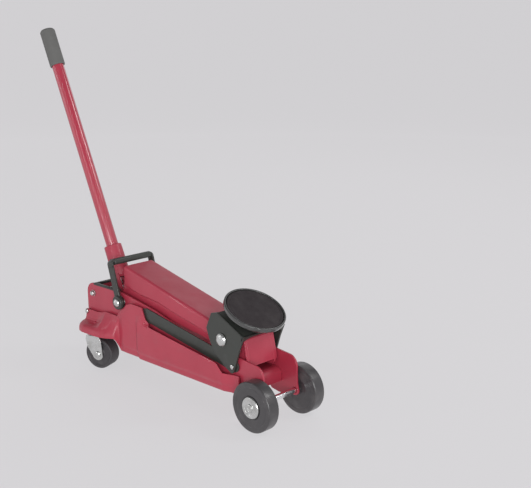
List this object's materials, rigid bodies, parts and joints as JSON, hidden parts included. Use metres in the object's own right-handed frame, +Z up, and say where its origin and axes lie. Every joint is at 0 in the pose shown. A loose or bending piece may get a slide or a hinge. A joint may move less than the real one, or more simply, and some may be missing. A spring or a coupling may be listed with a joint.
{
  "type": "trolley jack",
  "caption": "Low hydraulic trolley jack with a lift arm, tilting round saddle, side links, pump handle, carry handle, front wheels and swivel casters.",
  "frame": {"origin": "on the floor, midway along and across the lowered jack's overall box", "axes": "+X from the pump handle towards the saddle and front wheels, +Y to the jack's left, +Z up"},
  "size_m": [0.5578, 0.1256, 0.5232],
  "materials": {
    "red_paint": "gloss red enamel on pressed steel",
    "black_paint": "satin black enamel on steel",
    "dark_wheel": "dark painted cast wheel, worn satin on the tread",
    "caster_wheel": "dark moulded plastic, satin",
    "zinc": "bright zinc plate",
    "chrome": "ground and plated",
    "steel": "plain turned or drawn steel, oiled",
    "cast_iron": "dark painted casting",
    "rubber": "matt grey-black rubber",
    "soft_grip": "matt dark grey moulded grip",
    "trim": "black edging strip"
  },
  "bodies": {
    "frame": {"side_plate_right": "red_paint", "side_plate_left": "red_paint", "side_skirt_right": "red_paint", "side_skirt_left": "red_paint", "edge_trim_right": "trim", "edge_trim_left": "trim", "link_stud_right": "steel", "link_stud_left": "steel", "front_cross_plate": "red_paint", "centre_tie_rod": "steel", "rear_cross_plate": "red_paint", "rear_edge_trim": "trim", "rear_tie_bolt": "zinc", "block_bolt": "zinc", "front_axle": "chrome", "main_shaft": "zinc", "pivot_cap_right": "black_paint", "pivot_cap_left": "black_paint", "pump_block": "cast_iron", "oil_reservoir": "cast_iron", "ram_cylinder": "steel", "ram_gland": "steel", "return_spring_right": "steel", "return_spring_left": "steel", "oil_filler_plug": "rubber", "handle_pivot_pin": "steel", "pump_spring": "steel", "caster_stem_right": "zinc", "caster_stem_left": "zinc", "caster_race_right": "zinc", "caster_race_left": "zinc"},
    "lift_arm": {"lift_arm": "red_paint", "crosshead_pin": "steel", "saddle_bolt": "zinc"},
    "saddle_bracket": {"saddle_bracket": "black_paint", "link_rivet_right": "zinc", "link_rivet_left": "zinc"},
    "saddle": {"saddle_cup": "black_paint", "saddle_pad": "rubber"},
    "link_right": {"link_bar_right": "black_paint"},
    "link_left": {"link_bar_left": "black_paint"},
    "ram": {"ram": "chrome"},
    "handle": {"handle_socket": "red_paint", "handle_tube": "red_paint", "handle_grip": "soft_grip", "roller_pin": "zinc"},
    "pump_roller": {"pump_roller": "steel"},
    "pump_plunger": {"pump_plunger": "chrome"},
    "release_valve": {"release_valve": "zinc"},
    "carry_handle": {"carry_handle": "black_paint"},
    "front_wheel_right": {"front_wheel_right": "dark_wheel", "hub_cap_right": "zinc"},
    "caster_fork_right": {"caster_fork_right": "zinc", "caster_axle_right": "zinc"},
    "caster_wheel_right": {"caster_wheel_right": "caster_wheel"},
    "front_wheel_left": {"front_wheel_left": "dark_wheel", "hub_cap_left": "zinc"},
    "caster_fork_left": {"caster_fork_left": "zinc", "caster_axle_left": "zinc"},
    "caster_wheel_left": {"caster_wheel_left": "caster_wheel"}
  },
  "joints": [
    {"name": "arm_lift", "type": "hinge", "parent": "frame", "child": "lift_arm", "pos_m": [-0.0555, 0, 0.1151], "axis": [0, -1, 0], "range_deg": [0, 38]},
    {"name": "bracket_level", "type": "hinge", "parent": "lift_arm", "child": "saddle_bracket", "pos_m": [0.1749, 0, 0.11], "axis": [0, -1, 0], "range_deg": [-18, 0]},
    {"name": "saddle_swivel", "type": "hinge", "parent": "saddle_bracket", "child": "saddle", "pos_m": [0.19255, 0, 0.13477], "axis": [0.4384, 0, 0.8988], "continuous": true},
    {"name": "link_swing_right", "type": "hinge", "parent": "frame", "child": "link_right", "pos_m": [-0.0321, -0.0355, 0.104], "axis": [0, -1, 0], "range_deg": [0, 41]},
    {"name": "link_swing_left", "type": "hinge", "parent": "frame", "child": "link_left", "pos_m": [-0.0321, 0.0355, 0.104], "axis": [0, -1, 0], "range_deg": [0, 41]},
    {"name": "ram_slide", "type": "slide", "parent": "frame", "child": "ram", "axis": [1, 0, 0], "range_m": [0, 0.0236], "deforming": ["return_spring_right", "return_spring_left"]},
    {"name": "handle_pump", "type": "hinge", "parent": "frame", "child": "handle", "pos_m": [-0.0889, 0, 0.122], "axis": [0, -1, 0], "range_deg": [0, 40], "stiffness_Nm_per_rad": 1.3, "springref_deg": -28.65},
    {"name": "roller_spin", "type": "hinge", "parent": "handle", "child": "pump_roller", "pos_m": [-0.11211, 0.019, 0.12816], "axis": [0, -1, 0], "continuous": true},
    {"name": "pump_stroke", "type": "slide", "parent": "frame", "child": "pump_plunger", "axis": [0, 0, -1], "range_m": [0, 0.0165], "deforming": ["pump_spring"]},
    {"name": "release_valve_turn", "type": "hinge", "parent": "frame", "child": "release_valve", "pos_m": [-0.1461, 0, 0.07], "axis": [1, 0, 0], "range_deg": [0, 180]},
    {"name": "carry_handle_swing", "type": "hinge", "parent": "frame", "child": "carry_handle", "pos_m": [-0.0555, 0, 0.1151], "axis": [0, 1, 0], "range_deg": [-10, 2]},
    {"name": "front_wheel_spin_right", "type": "hinge", "parent": "frame", "child": "front_wheel_right", "pos_m": [0.2439, -0.0449, 0.035], "axis": [0, 1, 0], "continuous": true},
    {"name": "caster_swivel_right", "type": "hinge", "parent": "frame", "child": "caster_fork_right", "pos_m": [-0.1136, -0.042, 0.052], "axis": [0, 0, 1], "continuous": true},
    {"name": "caster_wheel_spin_right", "type": "hinge", "parent": "caster_fork_right", "child": "caster_wheel_right", "pos_m": [-0.1042, -0.03858, 0.024], "axis": [-0.342, 0.9397, 0], "continuous": true},
    {"name": "front_wheel_spin_left", "type": "hinge", "parent": "frame", "child": "front_wheel_left", "pos_m": [0.2439, 0.0449, 0.035], "axis": [0, 1, 0], "continuous": true},
    {"name": "caster_swivel_left", "type": "hinge", "parent": "frame", "child": "caster_fork_left", "pos_m": [-0.1136, 0.042, 0.052], "axis": [0, 0, 1], "continuous": true},
    {"name": "caster_wheel_spin_left", "type": "hinge", "parent": "caster_fork_left", "child": "caster_wheel_left", "pos_m": [-0.1042, 0.03858, 0.024], "axis": [0.342, 0.9397, 0], "continuous": true}
  ],
  "couplings": [
    {"joint": "bracket_level", "follows": "arm_lift", "ratio": -0.45},
    {"joint": "link_swing_right", "follows": "arm_lift", "ratio": 1.054},
    {"joint": "link_swing_left", "follows": "arm_lift", "ratio": 1.054},
    {"joint": "ram_slide", "follows": "arm_lift", "m_per_rad": 0.03528},
    {"joint": "pump_stroke", "follows": "handle_pump", "m_per_rad": 0.02335}
  ]
}
